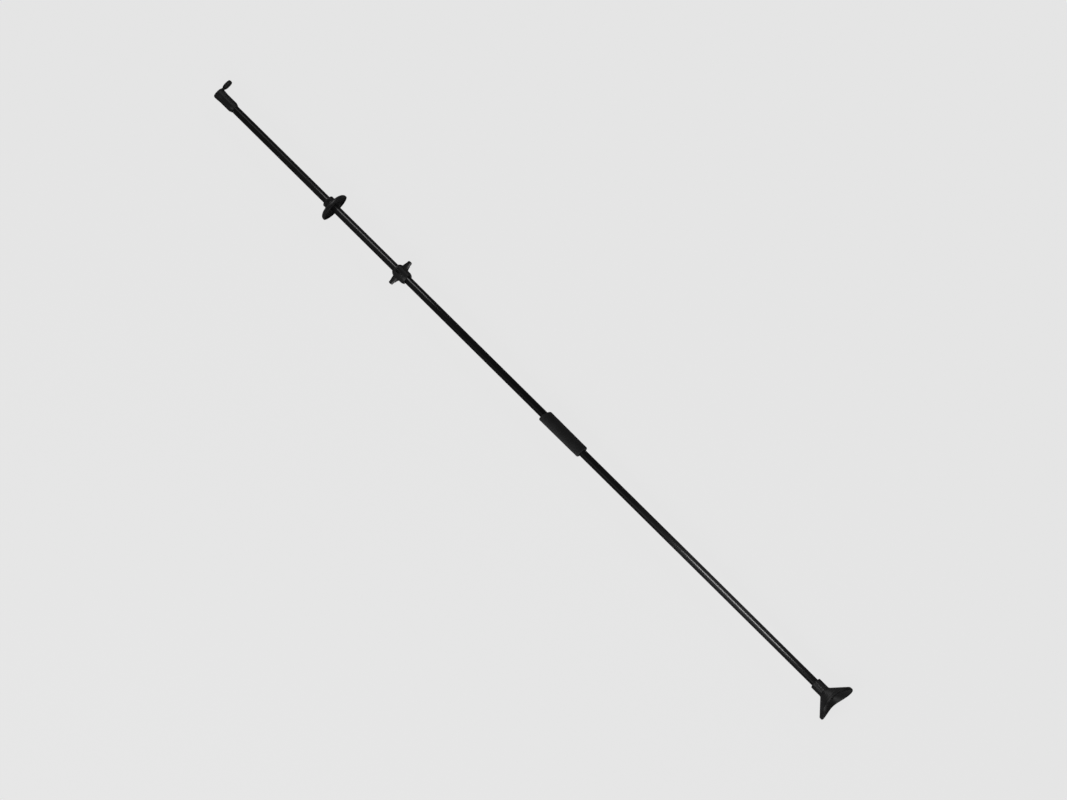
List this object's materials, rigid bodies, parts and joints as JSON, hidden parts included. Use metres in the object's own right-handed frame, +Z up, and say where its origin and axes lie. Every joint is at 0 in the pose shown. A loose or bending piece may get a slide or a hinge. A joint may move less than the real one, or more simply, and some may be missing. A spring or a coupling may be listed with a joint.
{
  "type": "blowgun",
  "caption": "Long straight open tube with a sighted muzzle sleeve, sliding dart-tip cup, sliding forked dart clip, foam grip and a flared saddle-rim mouthpiece.",
  "frame": {"origin": "on the surface it lies on, under the barrel's axis, halfway between the muzzle face and the mouthpiece's tips", "axes": "+X along the barrel from the muzzle to the mouthpiece, +Y towards one of the mouthpiece's two long tips and roughly the way the sight ring stands out at rest, 16 degrees above it, +Z up"},
  "size_m": [1.524, 0.0752, 0.0556],
  "materials": {
    "tube_black": "satin black anodised",
    "moulded_black": "fine-grained moulded black",
    "foam_black": "matt closed-cell foam",
    "mouthpiece_black": "satin moulded black"
  },
  "bodies": {
    "barrel": {"barrel_tube": "tube_black"},
    "muzzle_guard": {"muzzle_guard": "moulded_black"},
    "dart_guard": {"dart_guard": "moulded_black"},
    "dart_clip": {"dart_clip": "moulded_black"},
    "grip": {"foam_grip": "foam_black"},
    "mouthpiece": {"mouthpiece": "mouthpiece_black"}
  },
  "joints": [
    {"name": "muzzle_guard_turn", "type": "hinge", "parent": "barrel", "child": "muzzle_guard", "pos_m": [-0.741, 0, 0.0278], "axis": [1, 0, 0], "continuous": true},
    {"name": "dart_guard_slide", "type": "slide", "parent": "barrel", "child": "dart_guard", "axis": [1, 0, 0], "range_m": [-0.2, 0.06]},
    {"name": "dart_clip_slide", "type": "slide", "parent": "barrel", "child": "dart_clip", "axis": [1, 0, 0], "range_m": [-0.06, 0.28]},
    {"name": "grip_slide", "type": "slide", "parent": "barrel", "child": "grip", "axis": [1, 0, 0], "range_m": [-0.04, 0.3]},
    {"name": "mouthpiece_pull_off", "type": "slide", "parent": "barrel", "child": "mouthpiece", "axis": [1, 0, 0], "range_m": [0, 0.026]}
  ]
}
